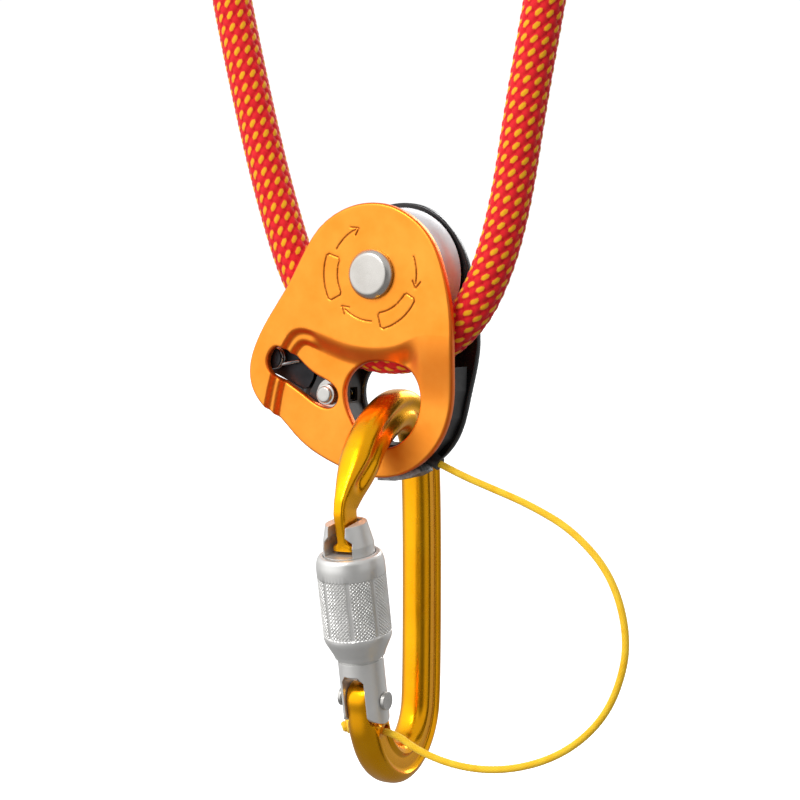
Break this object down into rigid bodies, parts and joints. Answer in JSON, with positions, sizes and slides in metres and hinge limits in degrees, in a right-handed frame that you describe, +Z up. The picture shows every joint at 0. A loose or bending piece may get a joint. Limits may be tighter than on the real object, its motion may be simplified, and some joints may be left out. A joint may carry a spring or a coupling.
{
  "type": "rope pulley",
  "caption": "Rope pulley with swinging side plate, ball-bearing sheave and rope-grab cam, rigged on a rope with a screw-gate carabiner and a leash cord.",
  "frame": {"origin": "centre of the sheave axle, half way between the side plates", "axes": "+Z up as the pulley hangs on its rope, +Y from the opening side plate to the rear side plate along the sheave axle, +X to the right seen from the opening side plate"},
  "size_m": [0.1533, 0.0541, 0.2734],
  "materials": {
    "orange_anodised": "satin anodised orange",
    "black_anodised": "gloss black anodised",
    "steel": "satin stainless steel",
    "bearing_steel": "ground and polished",
    "sheave_alloy": "turned, satin",
    "black_polymer": "moulded, fine grain",
    "cam_steel": "black oxide",
    "bronze": "sintered",
    "spring_steel": "drawn wire",
    "gold_anodised": "glossy anodised gold",
    "gate_alloy": "bead blasted",
    "nitrile": "moulded",
    "rope_sheath": "braided polyamide sheath with yellow flecks",
    "leash_braid": "braided polyester cord"
  },
  "bodies": {
    "pulley": {"rear_side_plate": "black_anodised", "wheel_axle": "steel", "thrust_washers": "bronze", "bearing_inner_ring": "bearing_steel", "spacer_block": "black_polymer", "spacer_rivets": "steel", "wear_bar": "steel", "leash_gland": "steel", "cam_pivot_pin": "steel", "cam_pin_clip": "spring_steel", "cam_spring": "spring_steel", "button_bush": "steel", "button_spring": "spring_steel", "rope": "rope_sheath", "rope_knot_left": "rope_sheath", "rope_knot_right": "rope_sheath", "leash": "leash_braid"},
    "front_plate": {"front_side_plate": "orange_anodised"},
    "sheave": {"sheave": "sheave_alloy", "bearing_outer_ring": "bearing_steel", "bearing_shields": "bearing_steel"},
    "ball_cage": {"bearing_cage": "bronze", "bearing_balls": "bearing_steel"},
    "cam": {"cam": "cam_steel", "cam_bushing": "bronze"},
    "button": {"release_button": "steel"},
    "carabiner": {"carabiner_body": "gold_anodised", "gate_rivet": "steel", "leash_knot": "leash_braid"},
    "gate": {"gate": "gate_alloy", "gate_plunger": "steel", "gate_spring": "spring_steel"},
    "sleeve_ring": {"sleeve_drag_ring": "nitrile"},
    "lock_sleeve": {"lock_sleeve": "gate_alloy"}
  },
  "joints": [
    {"name": "side_plate_swing", "type": "hinge", "parent": "pulley", "child": "front_plate", "pos_m": [0, 0, 0], "axis": [0, -1, 0], "range_deg": [0, 3]},
    {"name": "sheave_spin", "type": "hinge", "parent": "pulley", "child": "sheave", "pos_m": [0, 0, 0], "axis": [0, 1, 0], "continuous": true},
    {"name": "cage_spin", "type": "hinge", "parent": "pulley", "child": "ball_cage", "pos_m": [0, 0, 0], "axis": [0, 1, 0], "continuous": true},
    {"name": "cam_swing", "type": "hinge", "parent": "pulley", "child": "cam", "pos_m": [-0.035, 0, -0.0235], "axis": [0, 1, 0], "range_deg": [0, 30], "stiffness_Nm_per_rad": 0.03, "springref_deg": -22.92, "deforming": ["cam_spring"]},
    {"name": "button_press", "type": "slide", "parent": "pulley", "child": "button", "axis": [0, 1, 0], "range_m": [0, 0.004], "stiffness_N_per_m": 250, "springref_m": -0.004, "deforming": ["button_spring"]},
    {"name": "carabiner_swing", "type": "hinge", "parent": "pulley", "child": "carabiner", "pos_m": [0.0012, 0, -0.042], "axis": [0, 1, 0], "range_deg": [-20, 20], "deforming": ["leash"]},
    {"name": "gate_swing", "type": "hinge", "parent": "carabiner", "child": "gate", "pos_m": [0.0012, -0.0162, -0.116], "axis": [-1, 0, 0], "range_deg": [0, 22], "stiffness_Nm_per_rad": 0.05, "springref_deg": -28.65},
    {"name": "sleeve_travel", "type": "slide", "parent": "gate", "child": "sleeve_ring", "axis": [0, -0.1942, 0.981], "range_m": [0, 0.0045]},
    {"name": "sleeve_turn", "type": "hinge", "parent": "sleeve_ring", "child": "lock_sleeve", "pos_m": [0.0012, -0.0162, -0.116], "axis": [0, -0.1942, 0.981], "range_deg": [0, 720]}
  ],
  "couplings": [
    {"joint": "cage_spin", "follows": "sheave_spin", "ratio": 0.622},
    {"joint": "sleeve_turn", "follows": "sleeve_travel", "rad_per_m": 2792.2}
  ]
}
